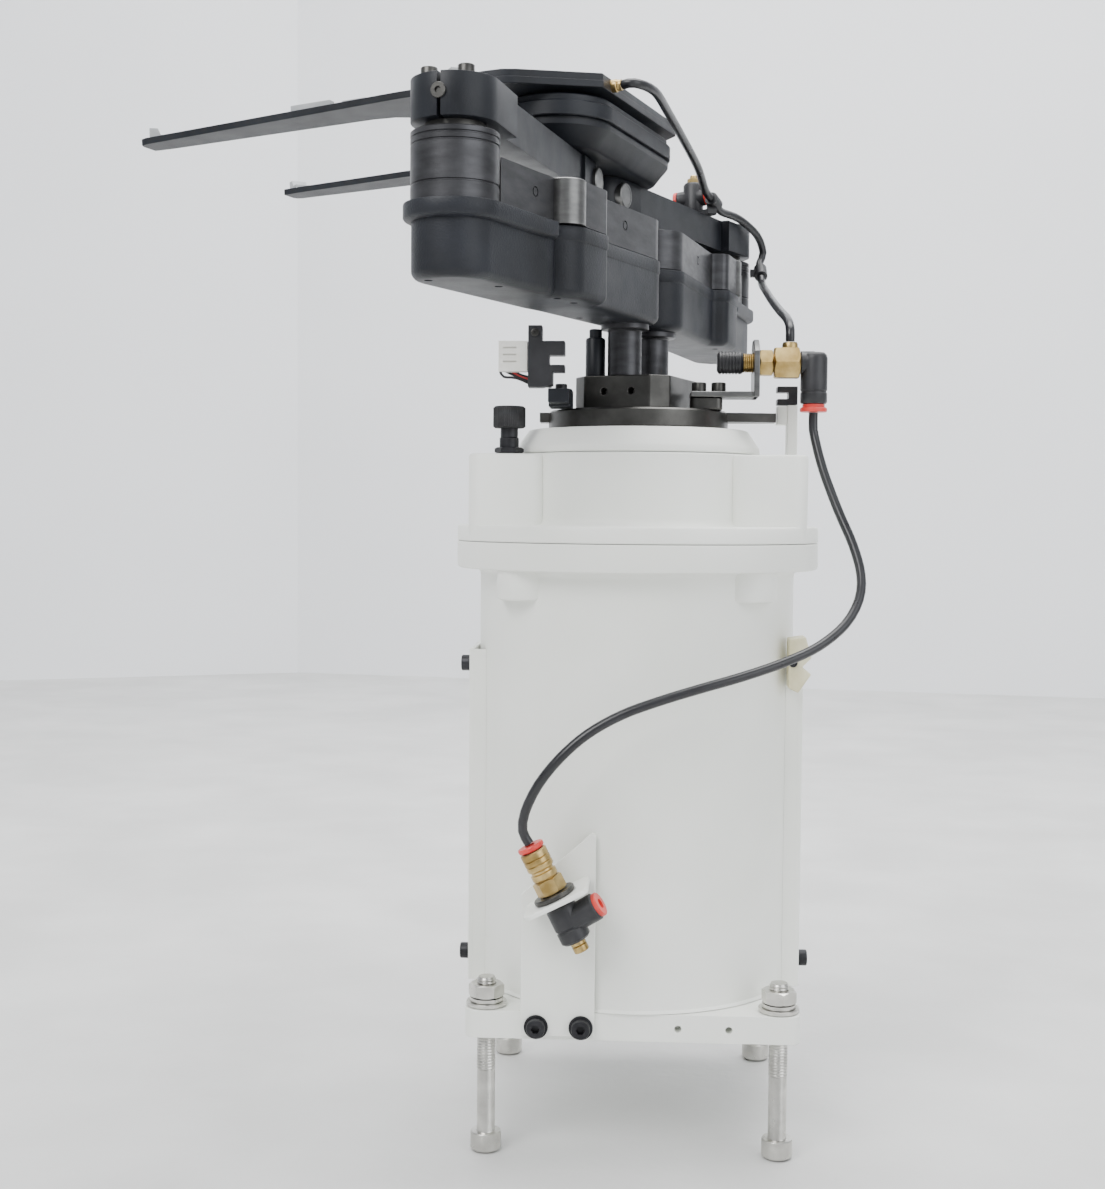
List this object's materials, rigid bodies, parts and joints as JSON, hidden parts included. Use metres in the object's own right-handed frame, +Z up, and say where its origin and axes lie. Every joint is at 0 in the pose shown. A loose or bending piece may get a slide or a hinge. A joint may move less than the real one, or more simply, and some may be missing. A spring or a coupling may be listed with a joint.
{
  "type": "wafer handling robot",
  "caption": "Drum-based two-link transfer robot: a rotating turret carries paired belt-driven arms that push a thin forked blade straight out, with small air tubes.",
  "frame": {"origin": "on the drum's axis, at the underside of the base plate", "axes": "+Z up along the drum's axis, -Y towards the side with the tube bracket, fork pointing about 20 degrees behind -X at rest"},
  "size_m": [0.3254, 0.3367, 0.4533],
  "materials": {
    "white_paint": "semi-gloss off-white paint",
    "black_anodised": "satin black anodising",
    "bare_steel": "machined, dark",
    "dark_steel": "machined, oiled dark",
    "bright_steel": "bright stainless",
    "brass": "plain, a little tarnished",
    "black_plastic": "moulded black",
    "red_plastic": "moulded red",
    "pale_plastic": "natural nylon",
    "rubber": "black rubber",
    "black_tube": "black polyurethane tube"
  },
  "bodies": {
    "base": {"base_plate": "white_paint", "drum_housing": "white_paint", "upper_housing": "white_paint", "top_cap": "white_paint", "side_cover_left": "white_paint", "side_cover_right": "white_paint", "mounting_bolt_1": "bright_steel", "mounting_bolt_2": "bright_steel", "mounting_bolt_3": "bright_steel", "mounting_bolt_4": "bright_steel", "turn_motor": "black_anodised", "bearing_web": "bare_steel", "upper_bearing": "bare_steel", "arm_motor": "black_anodised", "cable_sockets": "black_plastic", "tube_bracket": "white_paint", "supply_brass": "brass", "supply_elbow": "black_plastic", "supply_ring": "red_plastic", "rotation_bumper": "rubber", "sensor_post": "white_paint", "home_sensor": "black_plastic", "cable_clip": "pale_plastic", "supply_tube": "black_tube"},
    "turret": {"spindle": "bare_steel", "turret_disc": "dark_steel", "turret_block": "dark_steel", "arm_stop_post": "black_anodised", "arm_sensor": "black_plastic", "sensor_bracket": "black_anodised", "sensor_plug": "pale_plastic", "turret_bracket": "bare_steel", "union_body": "brass", "union_elbow": "black_plastic", "union_ring": "red_plastic", "hub_pulley_left": "bare_steel", "hub_pulley_right": "bare_steel"},
    "upper_arm_right": {"arm_casting_right": "black_anodised", "arm_cover_right": "bare_steel", "elbow_housing_right": "bare_steel", "shoulder_shaft_right": "bare_steel", "arm_belt_right": "rubber", "arm_tube_clip": "black_plastic", "arm_tube": "black_tube"},
    "upper_arm_left": {"arm_casting_left": "black_anodised", "arm_cover_left": "bare_steel", "elbow_housing_left": "bare_steel", "shoulder_shaft_left": "bare_steel", "arm_belt_left": "rubber"},
    "forearm_right": {"forearm_right": "black_anodised", "elbow_shaft_right": "dark_steel", "wrist_pin_right": "dark_steel", "forearm_fitting": "black_plastic", "elbow_tube": "black_tube", "wrist_tube": "black_tube"},
    "forearm_left": {"forearm_left": "black_anodised", "elbow_shaft_left": "dark_steel", "wrist_pin_left": "dark_steel"},
    "wrist": {"wrist_cup": "black_anodised", "fork": "black_anodised"}
  },
  "joints": [
    {"name": "turret_turn", "type": "hinge", "parent": "base", "child": "turret", "pos_m": [0, 0, 0.2547], "axis": [0, 0, 1], "range_deg": [-40, 40], "deforming": ["supply_tube"]},
    {"name": "shoulder_right", "type": "hinge", "parent": "turret", "child": "upper_arm_right", "pos_m": [0.00616, 0.01691, 0.2777], "axis": [0, 0, 1], "range_deg": [-15, 60], "deforming": ["arm_tube"]},
    {"name": "elbow_right", "type": "hinge", "parent": "upper_arm_right", "child": "forearm_right", "pos_m": [0.04291, 0.15408, 0.3526], "axis": [0, 0, 1], "range_deg": [-120, 30], "deforming": ["elbow_tube"]},
    {"name": "wrist_right", "type": "hinge", "parent": "forearm_right", "child": "wrist", "pos_m": [-0.0171, 0.02538, 0.3709], "axis": [0, 0, 1], "range_deg": [-15, 60], "deforming": ["wrist_tube"]},
    {"name": "shoulder_left", "type": "hinge", "parent": "turret", "child": "upper_arm_left", "pos_m": [-0.00616, -0.01691, 0.2777], "axis": [0, 0, 1], "range_deg": [-60, 15]},
    {"name": "elbow_left", "type": "hinge", "parent": "upper_arm_left", "child": "forearm_left", "pos_m": [-0.06617, -0.14561, 0.3526], "axis": [0, 0, 1], "range_deg": [-30, 120]}
  ],
  "couplings": [
    {"joint": "elbow_right", "follows": "shoulder_right", "ratio": -2},
    {"joint": "wrist_right", "follows": "shoulder_right", "ratio": 1},
    {"joint": "shoulder_left", "follows": "shoulder_right", "ratio": -1},
    {"joint": "elbow_left", "follows": "shoulder_right", "ratio": 2}
  ]
}
